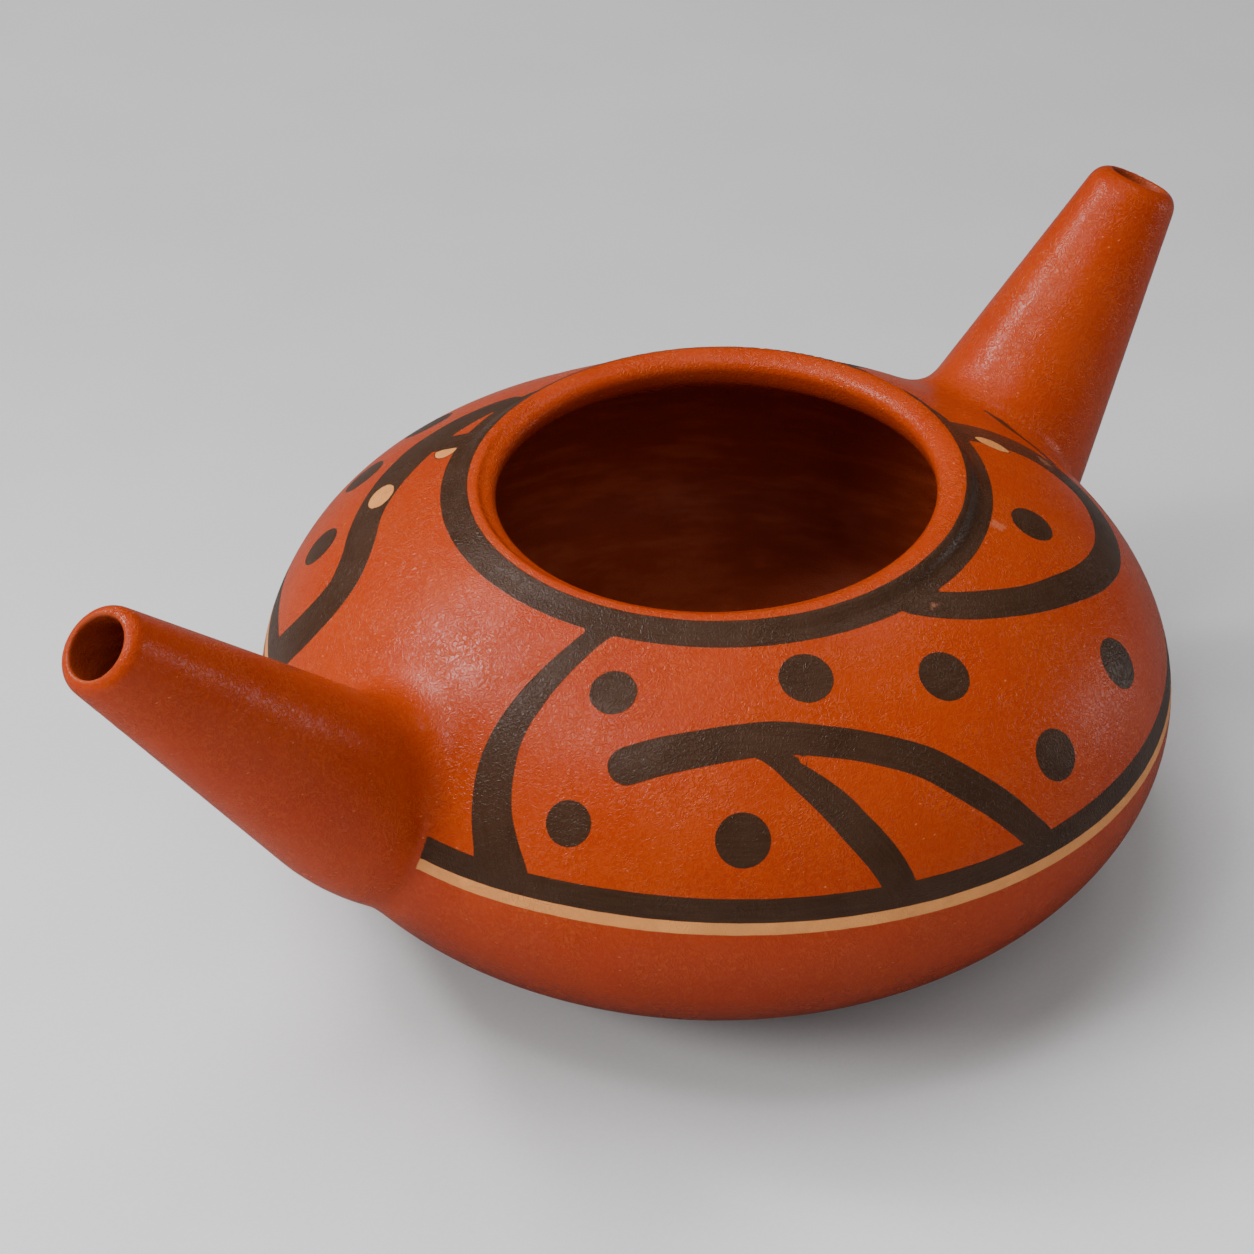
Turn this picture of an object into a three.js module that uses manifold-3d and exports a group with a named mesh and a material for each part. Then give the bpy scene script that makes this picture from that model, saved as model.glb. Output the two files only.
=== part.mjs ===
// Paccha vessel: a low, round, open ceramic pot with two straight drinking spouts.
// Sizes are in millimetres. The frame has its origin at the centre of the flat
// underside, +Z up through the mouth and +X along the shorter, stouter spout.

import * as THREE from 'three';
import { mergeVertices } from 'three/addons/utils/BufferGeometryUtils.js';
import Module from 'manifold-3d';

// Body
const BODY_RADIUS = 100.0;        // widest ring of the pot
const WIDEST_HEIGHT = 43.5;       // height of the widest ring above the underside
const FOOT_RADIUS = 42.0;         // flat part the pot stands on
const FOOT_EDGE_ROUND = 2.0;      // rounding between the flat and the belly
const WALL = 5.5;                 // thickness of the fired wall
const FLOOR_THICKNESS = 6.5;      // thickness of the clay at the flat

// Swelling of the belly, above and below the widest ring
const UPPER_CURVE_HEIGHT = 53.5;  // height the upper curve would reach at the axis
const UPPER_CURVE_POWER = 1.93;   // a higher power makes the shoulder squarer
const LOWER_CURVE_POWER = 2.02;
const CURVE_WIDTH_POWER = 2.5;    // fullness of both curves at the widest ring

// Mouth
const THROAT_RADIUS = 46.5;       // narrowest clear radius of the mouth
const LIP_HALF_WIDTH = 3.9;       // half the width of the rolled lip, seen from above
const LIP_RISE = 2.6;             // height of the roll above its outer root
const LIP_INNER_FACE = 2.4;       // upright inner face of the lip, below its roll
const LIP_UNDERCUT = 2.2;         // height over which the lip turns back under itself

// Right spout, along +X
const RIGHT_REACH = 137.8;        // centre of its tip from the axis of the pot
const RIGHT_TIP_HEIGHT = 115.5;   // centre of its tip above the underside
const RIGHT_TILT_DEG = 50.0;      // slope of its axis above the horizontal
const RIGHT_TIP_RADIUS = 10.6;    // outside radius at the tip
const RIGHT_TAPER_DEG = 9.2;      // half angle of its outside
const RIGHT_BORE_RADIUS = 6.4;    // bore at the tip
const RIGHT_BORE_TAPER_DEG = 7.4; // half angle of its bore
const RIGHT_STRAIGHT = 66.0;      // straight length before the root rounds inward
const RIGHT_ROOT_DEPTH = 118.0;   // end of the root's clay, measured from the tip
const RIGHT_BORE_DEPTH = 97.0;    // end of the bore, measured from the tip

// Left spout, along -X
const LEFT_REACH = 149.0;
const LEFT_TIP_HEIGHT = 120.5;
const LEFT_TILT_DEG = 50.0;
const LEFT_TIP_RADIUS = 8.9;
const LEFT_TAPER_DEG = 8.0;
const LEFT_BORE_RADIUS = 5.4;
const LEFT_BORE_TAPER_DEG = 6.2;
const LEFT_STRAIGHT = 72.0;
const LEFT_ROOT_DEPTH = 125.0;
const LEFT_BORE_DEPTH = 108.0;

// Details shared by both spouts
const TIP_ROUND = 1.5;            // rounding of a spout's outer tip edge
const BORE_MOUTH_ROUND = 1.0;     // rounding of a bore's mouth
const ROOT_ROUND = 90.0;          // radius by which a root curves in to meet the belly
const ROOT_STEPS = 6;

// Facets
const BODY_SEGMENTS = 60;
const SPOUT_SEGMENTS = 26;
const UPPER_STEPS = 11;
const LOWER_STEPS = 10;
const LIP_STEPS = 9;
const EDGE_STEPS = 3;

const wasm = await Module();
wasm.setup();

const radians = (degrees) => degrees * Math.PI / 180;
const point = (r, z) => new THREE.Vector2(r, z);

// A swollen quarter curve between the widest ring and a chosen radius.
function bellyCurve(height, power, endRadius, steps, sign) {
  const endAngle = Math.acos(Math.pow(endRadius / BODY_RADIUS, CURVE_WIDTH_POWER / 2));
  const curve = [];
  for (let i = 0; i <= steps; i += 1) {
    const t = endAngle * i / steps;
    const r = BODY_RADIUS * Math.pow(Math.cos(t), 2 / CURVE_WIDTH_POWER);
    const z = height * Math.pow(Math.sin(t), 2 / power);
    curve.push(point(r, WIDEST_HEIGHT + sign * z));
  }
  return curve;
}

// Points of an oval arc around a centre, from one angle to another, in degrees.
function arc(centreR, centreZ, width, height, fromDeg, toDeg, steps) {
  const points = [];
  for (let i = 0; i <= steps; i += 1) {
    const a = radians(fromDeg + (toDeg - fromDeg) * i / steps);
    points.push(point(centreR + width * Math.cos(a), centreZ + height * Math.sin(a)));
  }
  return points;
}

// A run of points moved sideways by a distance, to the left of its direction.
function offsetCurve(points, distance) {
  return points.map((p, i) => {
    const before = points[Math.max(i - 1, 0)];
    const after = points[Math.min(i + 1, points.length - 1)];
    const along = after.clone().sub(before).normalize();
    return point(p.x - along.y * distance, p.y + along.x * distance);
  });
}

// The lower curve is scaled so that it passes exactly through the foot's edge.
const footShare = Math.pow(FOOT_RADIUS / BODY_RADIUS, CURVE_WIDTH_POWER);
const lowerCurveHeight = WIDEST_HEIGHT / Math.pow(1 - footShare, 1 / LOWER_CURVE_POWER);

const lipCentreR = THROAT_RADIUS + LIP_HALF_WIDTH;
const lipOuterR = lipCentreR + LIP_HALF_WIDTH;

const upperCurve = bellyCurve(UPPER_CURVE_HEIGHT, UPPER_CURVE_POWER, lipOuterR, UPPER_STEPS, 1);
const lowerCurve = bellyCurve(lowerCurveHeight, LOWER_CURVE_POWER, FOOT_RADIUS, LOWER_STEPS, -1)
  .reverse();

// Outside of the belly from the foot's edge up to the root of the lip.
const outside = lowerCurve.concat(upperCurve.slice(1));
const lipCentreZ = outside[outside.length - 1].y;
const footEdge = point(FOOT_RADIUS + FOOT_EDGE_ROUND, FOOT_EDGE_ROUND * 0.32);

// The outside run with the flat underside and its rounded edge in front.
function outsideRun() {
  const belly = outside.filter((p) => p.x > footEdge.x + 1.0 || p.y > WIDEST_HEIGHT);
  return [point(0, 0), point(FOOT_RADIUS, 0), footEdge].concat(belly);
}

// The inside run from under the lip down to the middle of the floor.
function insideRun() {
  const floorZ = FLOOR_THICKNESS;
  const run = offsetCurve(outside, WALL).reverse();
  const kept = run.filter((p) => p.y > floorZ + 0.8 && p.x > lipCentreR + 1.2);
  const last = run.filter((p) => p.y > floorZ + 0.8 && p.y < WIDEST_HEIGHT).pop();
  return kept.concat([point(last.x - 9, floorZ + 0.3), point(last.x - 14, floorZ), point(0, floorZ)]);
}

// The whole wall of the pot as one closed run: underside, belly, lip, inside.
function potProfile() {
  const lip = arc(lipCentreR, lipCentreZ, LIP_HALF_WIDTH, LIP_RISE, 14, 180, LIP_STEPS);
  const faceEnd = lipCentreZ - LIP_INNER_FACE;
  const under = arc(THROAT_RADIUS + LIP_UNDERCUT, faceEnd, LIP_UNDERCUT, LIP_UNDERCUT,
    180, 250, EDGE_STEPS);
  return outsideRun().concat(lip, under, insideRun());
}

// A solid of revolution around +Z from a run of radius and height points.
function turned(profile, segments) {
  const geometry = new THREE.LatheGeometry(profile, segments);
  geometry.rotateX(Math.PI / 2);
  return toSolid(geometry);
}

// A closed solid from a geometry, with its faces turned outward.
function toSolid(geometry) {
  const plain = geometry.clone();
  plain.deleteAttribute('normal');
  plain.deleteAttribute('uv');
  const welded = mergeVertices(plain, 1e-4);
  const corners = welded.attributes.position;
  const kept = [];
  const index = welded.index.array;
  for (let i = 0; i < index.length; i += 3) {
    const a = index[i];
    const b = index[i + 1];
    const c = index[i + 2];
    if (a !== b && b !== c && c !== a) kept.push(a, b, c);
  }
  let volume = 0;
  const va = new THREE.Vector3();
  const vb = new THREE.Vector3();
  const vc = new THREE.Vector3();
  for (let i = 0; i < kept.length; i += 3) {
    va.fromBufferAttribute(corners, kept[i]);
    vb.fromBufferAttribute(corners, kept[i + 1]);
    vc.fromBufferAttribute(corners, kept[i + 2]);
    volume += va.dot(vb.cross(vc));
  }
  if (volume < 0) {
    for (let i = 0; i < kept.length; i += 3) {
      const swap = kept[i + 1];
      kept[i + 1] = kept[i + 2];
      kept[i + 2] = swap;
    }
  }
  return new wasm.Manifold(new wasm.Mesh({
    numProp: 3,
    vertProperties: new Float32Array(corners.array),
    triVerts: new Uint32Array(kept),
  }));
}

// A spout is turned upright, then leaned over and moved so its tip is in place.
function placedTurning(profile, reach, tipHeight, tiltDeg, side) {
  const geometry = new THREE.LatheGeometry(profile, SPOUT_SEGMENTS);
  geometry.rotateX(Math.PI / 2);
  geometry.rotateY(side * radians(90 - tiltDeg));
  geometry.translate(side * reach, 0, tipHeight);
  return toSolid(geometry);
}

// A taper that widens from the tip, runs straight, then curves in at the root.
function taperedRun(tipRadius, taperDeg, straight, depth) {
  const slope = Math.tan(radians(taperDeg));
  const run = [];
  for (let i = 0; i <= ROOT_STEPS; i += 1) {
    const s = straight + (depth - straight) * (1 - i / ROOT_STEPS);
    const past = s - straight;
    run.push(point(tipRadius + slope * s - past * past / (2 * ROOT_ROUND), -s));
  }
  return run;
}

// Outside of a spout, with a rounded tip whose face is at zero.
function spoutOutside(tipRadius, taperDeg, straight, depth) {
  const run = taperedRun(tipRadius, taperDeg, straight, depth);
  const rounding = arc(tipRadius - TIP_ROUND, -TIP_ROUND, TIP_ROUND, TIP_ROUND, 8, 90,
    EDGE_STEPS);
  return [point(0, -depth)].concat(run, rounding, [point(0, 0)]);
}

// Hollow of a spout, widening inward and rounded over at its mouth.
function spoutHollow(boreRadius, taperDeg, straight, depth) {
  const run = taperedRun(boreRadius, taperDeg, straight, depth);
  const mouth = [
    point(boreRadius + BORE_MOUTH_ROUND * 0.08, -BORE_MOUTH_ROUND),
    point(boreRadius + BORE_MOUTH_ROUND * 0.3, -BORE_MOUTH_ROUND * 0.3),
    point(boreRadius + BORE_MOUTH_ROUND, 0),
    point(boreRadius + BORE_MOUTH_ROUND, 2),
  ];
  return [point(0, -depth)].concat(run, mouth, [point(0, 2)]);
}

// Middle of the wall, used to end a spout's root inside the thickness of the wall.
function wallCore() {
  const middle = offsetCurve(outside, WALL / 2);
  const first = middle[0];
  const last = middle[middle.length - 1];
  return [point(0, first.y)].concat(middle, [point(0, last.y)]);
}

const pot = turned(potProfile(), BODY_SEGMENTS);
const core = turned(wallCore(), BODY_SEGMENTS);

const rightCone = placedTurning(
  spoutOutside(RIGHT_TIP_RADIUS, RIGHT_TAPER_DEG, RIGHT_STRAIGHT, RIGHT_ROOT_DEPTH),
  RIGHT_REACH, RIGHT_TIP_HEIGHT, RIGHT_TILT_DEG, 1);
const leftCone = placedTurning(
  spoutOutside(LEFT_TIP_RADIUS, LEFT_TAPER_DEG, LEFT_STRAIGHT, LEFT_ROOT_DEPTH),
  LEFT_REACH, LEFT_TIP_HEIGHT, LEFT_TILT_DEG, -1);
const rightHollow = placedTurning(
  spoutHollow(RIGHT_BORE_RADIUS, RIGHT_BORE_TAPER_DEG, RIGHT_STRAIGHT, RIGHT_BORE_DEPTH),
  RIGHT_REACH, RIGHT_TIP_HEIGHT, RIGHT_TILT_DEG, 1);
const leftHollow = placedTurning(
  spoutHollow(LEFT_BORE_RADIUS, LEFT_BORE_TAPER_DEG, LEFT_STRAIGHT, LEFT_BORE_DEPTH),
  LEFT_REACH, LEFT_TIP_HEIGHT, LEFT_TILT_DEG, -1);

const vessel = pot
  .add(rightCone.subtract(core))
  .add(leftCone.subtract(core))
  .subtract(rightHollow)
  .subtract(leftHollow);

// A plain geometry from a finished solid.
function toGeometry(solid) {
  const mesh = solid.getMesh();
  const geometry = new THREE.BufferGeometry();
  geometry.setAttribute('position', new THREE.BufferAttribute(new Float32Array(mesh.vertProperties), 3));
  geometry.setIndex(new THREE.BufferAttribute(new Uint32Array(mesh.triVerts), 1));
  geometry.computeVertexNormals();
  return geometry;
}

const clay = new THREE.MeshStandardMaterial({ color: 0xb04a22, roughness: 0.5, metalness: 0.0 });
const vesselMesh = new THREE.Mesh(toGeometry(vessel), clay);
vesselMesh.name = 'paccha_vessel';

const assembly = new THREE.Group();
assembly.name = 'paccha_vessel_assembly';
assembly.add(vesselMesh);

export default assembly;
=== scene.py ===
"""Looks of a painted paccha vessel: a burnished red slip pot with two drinking spouts.

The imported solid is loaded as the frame. A finer vessel is modelled around the same
sizes, with softened joins at the spouts and a rounded lip, and its slip painting is
laid on as surface distances that the material turns into paint.
"""

import logging
import math
from collections.abc import Sequence
from dataclasses import dataclass, field
from enum import Enum

import bpy
import numpy as np
from mathutils import Matrix, Vector


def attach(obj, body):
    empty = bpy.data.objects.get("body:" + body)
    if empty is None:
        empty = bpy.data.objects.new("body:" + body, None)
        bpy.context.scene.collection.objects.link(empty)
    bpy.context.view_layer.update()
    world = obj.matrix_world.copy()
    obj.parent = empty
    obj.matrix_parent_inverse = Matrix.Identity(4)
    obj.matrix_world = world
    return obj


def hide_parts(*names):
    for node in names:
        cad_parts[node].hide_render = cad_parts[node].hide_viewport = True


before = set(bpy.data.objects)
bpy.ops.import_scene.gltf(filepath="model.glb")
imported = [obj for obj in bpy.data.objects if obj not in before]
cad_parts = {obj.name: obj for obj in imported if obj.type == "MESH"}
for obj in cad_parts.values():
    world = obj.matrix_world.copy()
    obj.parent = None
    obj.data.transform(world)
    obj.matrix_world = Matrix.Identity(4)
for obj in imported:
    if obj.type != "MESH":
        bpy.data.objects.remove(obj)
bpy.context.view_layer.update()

LOG = logging.getLogger("paccha")
MM = 0.001
FAR = 50.0  # distance, in millimetres, that stands for no paint near by
FLAT = 1e-5  # keeps a division sound where a field hardly slopes
Points = np.ndarray
Colour = tuple[float, float, float, float]
Place = tuple[float, float, float]


class Side(Enum):
    """The two spouts, by the side of the pot that they leave."""

    RIGHT = 1.0
    LEFT = -1.0


def soft_least(a: Points, b: Points, width: float) -> Points:
    """The lesser of two fields, with their crease rounded.

    Args:
        a: First field.
        b: Second field.
        width: Range of difference over which the crease is rounded.

    Returns:
        The joined field.
    """
    share = np.clip(0.5 + 0.5 * (b - a) / width, 0.0, 1.0)
    return b * (1 - share) + a * share - width * share * (1 - share)


def soft_most(a: Points, b: Points, width: float) -> Points:
    """The greater of two fields, with their crease rounded.

    Args:
        a: First field.
        b: Second field.
        width: Range of difference over which the crease is rounded.

    Returns:
        The joined field.
    """
    return -soft_least(-a, -b, width)


@dataclass(frozen=True)
class PotForm:
    """Form of the belly, mouth and lip. Sizes are in millimetres."""

    radius: float = 99.8
    widest_height: float = 43.5
    foot_radius: float = 42.0
    upper_height: float = 53.5
    upper_power: float = 1.93
    lower_power: float = 2.02
    width_power: float = 2.5
    wall: float = 5.5
    floor_thickness: float = 6.5
    throat_radius: float = 46.5
    lip_half_width: float = 3.9
    lip_top: float = 92.4
    lip_middle: float = 89.7
    lip_bottom: float = 85.3
    lip_fullness: float = 2.2
    lip_inward_deg: float = 9.0
    mouth_lean: float = 1.84
    lean_limit: float = 1.2
    foot_rounding: float = 3.0
    floor_rounding: float = 6.0
    mouth_depth: float = 70.0
    mouth_rounding: float = 1.0
    oval_waver: float = 0.10
    oval_turn: float = 0.7
    lobed_waver: float = 0.07
    lobed_turn: float = 2.1
    lobed_rise: float = 30.0
    sinking_from: float = 56.0
    sinking_over: float = 18.0
    rough_edge_height: float = 90.6
    rough_throat_height: float = 91.0
    rough_top: float = 97.0
    rough_step: float = 1.5
    outside_heights: tuple[float, ...] = (4, 9, 16, 25, 34, 43.5, 53, 62, 70, 77, 83, 87.5)
    inside_heights: tuple[float, ...] = (6.5, 9, 12, 16, 21, 28, 35, 43.5, 53, 62, 70, 77, 82)
    low_shoulder: tuple[tuple[float, float], ...] = (
        (-180, 0.0), (-10, 0.0), (5, 0.4), (16, 0.6), (30, 1.0), (46, 1.5), (60, 1.9), (70, 1.95),
        (76, 1.85), (82, 1.55), (89, 1.2), (98, 0.75), (106, 0.35), (118, 0.0), (180, 0.0))

    @property
    def lower_height(self) -> float:
        """Depth that the lower curve would reach at the axis."""
        share = (self.foot_radius / self.radius) ** self.width_power
        return self.widest_height / (1 - share) ** (1 / self.lower_power)

    @property
    def lip_centre(self) -> float:
        """Radius of the middle of the lip's roll."""
        return self.throat_radius + self.lip_half_width

    def curve_field(self, r: Points, z: Points, inset: float) -> Points:
        """Signed distance, nearly, to the belly's curve.

        Args:
            r: Distance of each point from the axis.
            z: Height of each point above the foot.
            inset: How far the curve is moved inward.

        Returns:
            Negative inside the curve and positive outside it.
        """
        width = self.radius - inset
        rise = z - self.widest_height
        height = np.where(rise > 0, self.upper_height, self.lower_height) - inset
        power = np.where(rise > 0, self.upper_power, self.lower_power)
        across = r / width
        along = np.abs(rise) / height
        value = across**self.width_power + along**power - 1
        slope_r = self.width_power / width * across ** (self.width_power - 1)
        slope_z = power / height * along ** (power - 1)
        return value / np.sqrt(slope_r**2 + slope_z**2 + FLAT)

    def sinking(self, p: Points) -> Points:
        """How far the shoulder has sunk at the pot's back, where the clay slumped a little.

        Args:
            p: Points as rows of X, Y and Z.

        Returns:
            Depth of the sinking at each point.
        """
        azimuth = np.degrees(np.arctan2(p[:, 1], p[:, 0]))
        knots = np.array(self.low_shoulder)
        rise = np.clip((p[:, 2] - self.sinking_from) / self.sinking_over, 0, 1)
        return np.interp(azimuth, knots[:, 0], knots[:, 1]) * rise * rise * (3 - 2 * rise)

    def outside(self, p: Points) -> Points:
        """Field of the pot's outside with its flat foot.

        Args:
            p: Points as rows of X, Y and Z.

        Returns:
            Negative inside the clay's outer skin.
        """
        r = np.hypot(p[:, 0], p[:, 1])
        turn = np.arctan2(p[:, 1], p[:, 0])
        hand = (self.oval_waver * np.sin(2 * turn + self.oval_turn)
                + self.lobed_waver * np.sin(3 * turn + self.lobed_turn
                                            + p[:, 2] / self.lobed_rise))
        belly = self.curve_field(r, p[:, 2], 0.0) - hand + self.sinking(p)
        return soft_most(belly, -p[:, 2], self.foot_rounding)

    def inside(self, p: Points) -> Points:
        """Field of the hollow of the pot.

        Args:
            p: Points as rows of X, Y and Z.

        Returns:
            Negative within the hollow.
        """
        r = np.hypot(p[:, 0], p[:, 1])
        hollow = self.curve_field(r, p[:, 2], self.wall) + self.sinking(p)
        return soft_most(hollow, self.floor_thickness - p[:, 2], self.floor_rounding)

    def mouth(self, p: Points) -> Points:
        """Field of the plug of clay taken out of the top for the mouth."""
        r = np.hypot(p[:, 0], p[:, 1])
        return soft_most(r - self.lip_centre, self.mouth_depth - p[:, 2], self.mouth_rounding)

    def lip(self, p: Points) -> Points:
        """Field of the rolled lip, leaning a little as the hand left it.

        Args:
            p: Points as rows of X, Y and Z.

        Returns:
            Negative within the lip's roll.
        """
        out = np.hypot(p[:, 0], p[:, 1]) - self.lip_centre
        lean = np.clip(p[:, 0] / self.lip_centre, -self.lean_limit, self.lean_limit)
        tilt = self.mouth_lean * lean
        rise = p[:, 2] - tilt - self.lip_middle
        turn = math.radians(self.lip_inward_deg)
        out, rise = (out * math.cos(turn) + rise * math.sin(turn),
                     rise * math.cos(turn) - out * math.sin(turn))
        half_height = np.where(rise > 0, self.lip_top - self.lip_middle,
                               self.lip_middle + tilt - self.lip_bottom)
        x = np.abs(out) / self.lip_half_width
        y = np.abs(rise) / half_height
        n = self.lip_fullness
        value = x**n + y**n - 1
        slope = np.sqrt((n / self.lip_half_width * x ** (n - 1)) ** 2
                        + (n / half_height * y ** (n - 1)) ** 2 + FLAT)
        return value / slope

    def curve_radius(self, height: Points, inset: float) -> Points:
        """Radius of the belly's curve at a height.

        Args:
            height: Heights above the foot.
            inset: How far the curve is moved inward.

        Returns:
            Distance from the axis at each height.
        """
        rise = np.asarray(height, float) - self.widest_height
        tall = np.where(rise > 0, self.upper_height, self.lower_height) - inset
        power = np.where(rise > 0, self.upper_power, self.lower_power)
        share = np.clip(1 - (np.abs(rise) / tall) ** power, 0, 1)
        return (self.radius - inset) * share ** (1 / self.width_power)

    def surface_point(self, azimuth: Points, height: Points) -> Points:
        """Points on the outside of the belly.

        Args:
            azimuth: Angles around the axis from +X, in degrees.
            height: Heights above the foot.

        Returns:
            Rows of X, Y and Z.
        """
        r = self.curve_radius(height, 0.0)
        a = np.radians(azimuth)
        return np.stack([r * np.cos(a), r * np.sin(a), np.asarray(height, float)], axis=-1)

    def outside_run(self) -> list[tuple[float, float]]:
        """The outside's run, from the foot's middle to the lip's top.

        Returns:
            Radius and height of each point.
        """
        run = [(0.0, 0.0), (self.foot_radius, 0.0)]
        for z in self.outside_heights:
            run.append((float(self.curve_radius(z, 0.0)), float(z)))
        edge = self.throat_radius + 2 * self.lip_half_width
        return run + [(edge, self.rough_edge_height),
                      (self.lip_centre + self.rough_step, self.lip_top), (0.0, self.lip_top)]

    def inside_run(self) -> list[tuple[float, float]]:
        """The hollow's run, from the floor's middle to above the lip.

        Returns:
            Radius and height of each point.
        """
        run = [(0.0, self.floor_thickness)]
        for z in self.inside_heights:
            run.append((float(self.curve_radius(z, self.wall)), float(z)))
        throat = self.throat_radius
        return run + [(throat, self.lip_bottom), (throat, self.rough_throat_height),
                      (throat + self.rough_step, self.rough_top), (0.0, self.rough_top)]


@dataclass(frozen=True)
class SpoutForm:
    """Form of one spout, measured along its axis from the tip. Sizes are in millimetres."""

    side: Side
    reach: float
    tip_height: float
    tip_radius: float
    taper_deg: float
    bore_radius: float
    bore_taper_deg: float
    straight: float
    root_depth: float
    bore_depth: float
    tilt_deg: float = 50.0
    root_round: float = 90.0
    tip_rounding: float = 3.2
    face_lean_deg: float = 0.0
    face_drop: float = 0.0
    face_toward: Place = (-0.689, -0.444, 0.575)
    root_spread: float = 0.0
    spread_from: float = 45.0
    spread_over: float = 45.0
    fillet_above: float = 9.0
    fillet_beside: float = 3.0
    fillet_from: float = 0.1
    fillet_over: float = 0.8
    clay_slant: float = 0.988
    bore_slant: float = 0.992
    bore_end_rounding: float = 3.0

    @property
    def tip(self) -> Points:
        """Centre of the tip's face."""
        return np.array([self.side.value * self.reach, 0.0, self.tip_height])

    @property
    def outward(self) -> Points:
        """Direction of the axis, from the root to the tip."""
        tilt = math.radians(self.tilt_deg)
        return np.array([self.side.value * math.cos(tilt), 0.0, math.sin(tilt)])

    def along_and_across(self, p: Points, spread: float = 0.0) -> tuple[Points, Points]:
        """Depth of each point from the tip and its distance from the axis.

        Args:
            p: Points as rows of X, Y and Z.
            spread: Share by which the section widens sideways at the root.

        Returns:
            Depth along the axis, and distance from the axis.
        """
        offset = p - self.tip
        depth = -(offset @ self.outward)
        aside = offset + depth[:, None] * self.outward
        share = np.clip((depth - self.spread_from) / self.spread_over, 0, 1)
        aside[:, 1] /= 1 + spread * share * share * (3 - 2 * share)
        return depth, np.linalg.norm(aside, axis=1)

    def fillet(self, p: Points) -> Points:
        """Width of the join to the pot: broad above the spout, tight beside and below it.

        Args:
            p: Points as rows of X, Y and Z.

        Returns:
            The width at each point.
        """
        offset = p - self.tip
        depth, across = self.along_and_across(p)
        tilt = math.radians(self.tilt_deg)
        upward = np.array([-self.side.value * math.sin(tilt), 0.0, math.cos(tilt)])
        facing = (offset + depth[:, None] * self.outward) @ upward / np.maximum(across, 1e-6)
        share = np.clip((facing - self.fillet_from) / self.fillet_over, 0, 1)
        return self.fillet_beside + (self.fillet_above - self.fillet_beside) * share

    def taper(self, depth: Points, radius: float, taper_deg: float) -> Points:
        """Radius at a depth, straight at first and curving in at the root.

        Args:
            depth: Depths along the axis from the tip.
            radius: Radius at the tip.
            taper_deg: Angle by which the side opens.

        Returns:
            The radius at each depth.
        """
        past = np.maximum(depth - self.straight, 0.0)
        slope = math.tan(math.radians(taper_deg))
        return radius + slope * depth - past**2 / (2 * self.root_round)

    def clay(self, p: Points) -> Points:
        """Field of the spout's outside, with its slanting, rounded tip.

        Args:
            p: Points as rows of X, Y and Z.

        Returns:
            Negative within the clay's outer skin.
        """
        depth, across = self.along_and_across(p, self.root_spread)
        skin = (across - self.taper(depth, self.tip_radius, self.taper_deg)) * self.clay_slant
        lean = math.radians(self.face_lean_deg)
        face = self.outward * math.cos(lean) + np.array(self.face_toward) * math.sin(lean)
        skin = soft_most(skin, (p - self.tip) @ face + self.face_drop, self.tip_rounding)
        return np.maximum(skin, depth - self.root_depth)

    def hollow(self, p: Points) -> Points:
        """Field of the spout's bore.

        Args:
            p: Points as rows of X, Y and Z.

        Returns:
            Negative within the bore.
        """
        depth, across = self.along_and_across(p)
        side = self.taper(depth, self.bore_radius, self.bore_taper_deg)
        bore = (across - side) * self.bore_slant
        return soft_most(bore, depth - self.bore_depth, self.bore_end_rounding)


RIGHT_SPOUT = SpoutForm(
    side=Side.RIGHT, reach=137.8, tip_height=115.5, tip_radius=10.0, taper_deg=9.8,
    bore_radius=6.5, bore_taper_deg=7.2, straight=66.0, root_depth=118.0, bore_depth=97.0,
    tip_rounding=4.2, face_lean_deg=16.0, face_drop=0.45)
LEFT_SPOUT = SpoutForm(
    side=Side.LEFT, reach=149.0, tip_height=120.8, tip_radius=8.4, taper_deg=8.1,
    bore_radius=5.9, bore_taper_deg=6.2, straight=72.0, root_depth=125.0, bore_depth=108.0,
    tip_rounding=2.6, root_spread=-0.10, fillet_beside=2.0)


@dataclass(frozen=True)
class RodRun:
    """How a spout's rod is first turned. Sizes in millimetres, turns in radians."""

    steps: int
    seam_turn: float
    past_tip: float
    places: int = 11
    past_straight: float = 32.0
    spread_steps: tuple[tuple[float, float], ...] = ((58.0, 0.4), (75.0, 0.55))


CLAY_ROD = RodRun(steps=72, seam_turn=0.017, past_tip=0.0)
BORE_ROD = RodRun(steps=68, seam_turn=0.031, past_tip=6.0)


def deselect_all() -> None:
    """Leaves nothing selected."""
    if bpy.context.object and bpy.context.object.mode != "OBJECT":
        bpy.ops.object.mode_set(mode="OBJECT")
    bpy.ops.object.select_all(action="DESELECT")


def make_active(piece: bpy.types.Object) -> None:
    """Selects one object alone and makes it the active one.

    Args:
        piece: The object.
    """
    deselect_all()
    piece.select_set(True)
    bpy.context.view_layer.objects.active = piece


def edit_chosen(piece: bpy.types.Object, kind: str, chosen: Points) -> None:
    """Opens a piece in edit mode with only the chosen parts of its mesh selected.

    Args:
        piece: The object.
        kind: VERT or FACE.
        chosen: Whether each vertex or face is selected.
    """
    make_active(piece)
    bpy.ops.object.mode_set(mode="EDIT")
    bpy.ops.mesh.select_mode(type=kind)
    bpy.ops.mesh.select_all(action="DESELECT")
    bpy.ops.object.mode_set(mode="OBJECT")
    mesh = piece.data
    (mesh.vertices if kind == "VERT" else mesh.polygons).foreach_set("select", chosen)
    bpy.ops.object.mode_set(mode="EDIT")


def vertex_points(piece: bpy.types.Object) -> Points:
    """The vertices of a piece.

    Args:
        piece: The object.

    Returns:
        Rows of X, Y and Z, in millimetres.
    """
    flat = np.empty(len(piece.data.vertices) * 3)
    piece.data.vertices.foreach_get("co", flat)
    return flat.reshape(-1, 3) / MM


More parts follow.
